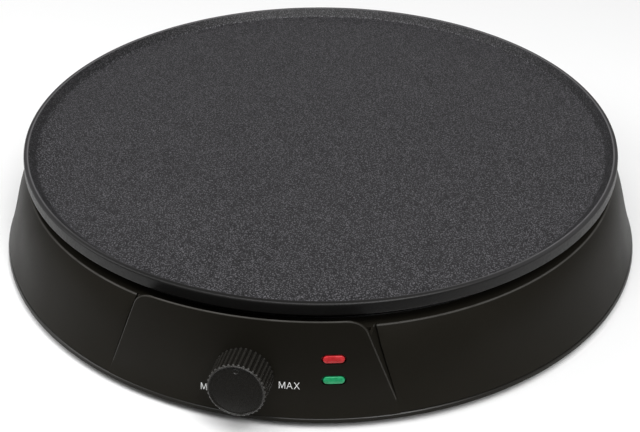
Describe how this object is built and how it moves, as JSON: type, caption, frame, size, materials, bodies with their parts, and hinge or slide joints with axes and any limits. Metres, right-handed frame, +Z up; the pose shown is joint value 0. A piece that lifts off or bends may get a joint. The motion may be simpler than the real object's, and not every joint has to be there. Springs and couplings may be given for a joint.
{
  "type": "electric crepe maker",
  "caption": "Low round electric crepe maker: rimmed non-stick hotplate over a tapered plastic base, with a proud control panel, ribbed heat knob, red and green pilot lenses.",
  "frame": {"origin": "the plate's axis where it meets the worktop, in the plane of the rubber feet", "axes": "+Z up along the plate's axis; the control panel and knob face -Y; +X is to the right seen from the front"},
  "size_m": [0.3418, 0.3527, 0.0581],
  "materials": {
    "nonstick_plate": "matt non-stick coat with fine light speckle",
    "housing_plastic": "satin black heat-resistant plastic",
    "base_plastic": "black moulded plastic",
    "knob_plastic": "fine matt black plastic",
    "foot_rubber": "matt rubber",
    "red_lens": "clear-moulded red lens",
    "green_lens": "clear-moulded green lens",
    "element_sheath": "heat-darkened sheath",
    "sheet_steel": "aluminised sheet",
    "zinc_steel": "zinc plated",
    "brass": "plain brass",
    "ceramic": "unglazed steatite",
    "lamp_glass": "clear glass",
    "nylon": "natural nylon",
    "wire_brown": "insulated lead",
    "wire_blue": "insulated lead",
    "wire_white": "glass-braid lead",
    "wire_earth": "insulated lead"
  },
  "bodies": {
    "base": {"baking_plate": "nonstick_plate", "heating_element": "element_sheath", "element_seals": "ceramic", "element_pins": "zinc_steel", "element_clips": "sheet_steel", "element_clip_screws": "zinc_steel", "heat_shield": "sheet_steel", "heat_washers": "ceramic", "plate_screws": "zinc_steel", "housing_shell": "housing_plastic", "base_plate": "base_plastic", "base_screws": "zinc_steel", "rubber_feet": "foot_rubber", "cord_gland": "foot_rubber", "thermostat_bush": "brass", "thermostat_bracket": "sheet_steel", "thermostat_screws": "zinc_steel", "stack_insulators": "ceramic", "stack_rivet": "zinc_steel", "arm_terminal": "brass", "upper_contact_blade": "brass", "bimetal_blade": "zinc_steel", "bimetal_pin": "ceramic", "thermal_fuse": "zinc_steel", "fuse_clip": "sheet_steel", "red_lens": "red_lens", "green_lens": "green_lens", "red_lamp": "lamp_glass", "green_lamp": "lamp_glass", "lamp_holder": "nylon", "lamp_resistors": "ceramic", "terminal_block": "nylon", "terminal_screws": "brass", "earth_screw": "brass", "earth_tab": "zinc_steel", "push_on_connectors": "nylon", "wire_live": "wire_brown", "wire_neutral": "wire_blue", "wire_heater": "wire_white", "wire_earth": "wire_earth", "wire_lamps": "wire_white"},
    "knob": {"temperature_knob": "knob_plastic", "thermostat_shaft": "zinc_steel", "shaft_clip": "zinc_steel"},
    "arm": {"contact_arm": "brass", "adjuster_pin": "ceramic"}
  },
  "joints": [
    {"name": "knob_turn", "type": "hinge", "parent": "base", "child": "knob", "pos_m": [0, -0.16643, 0.0259], "axis": [0, 0.9919, -0.1271], "range_deg": [-125, 105]},
    {"name": "arm_flex", "type": "hinge", "parent": "base", "child": "arm", "pos_m": [0.0071, -0.12338, 0.02039], "axis": [0, -0.1271, -0.9919], "range_deg": [-3.5, 3.5]}
  ],
  "couplings": [
    {"joint": "arm_flex", "follows": "knob_turn", "ratio": 0.0225}
  ]
}
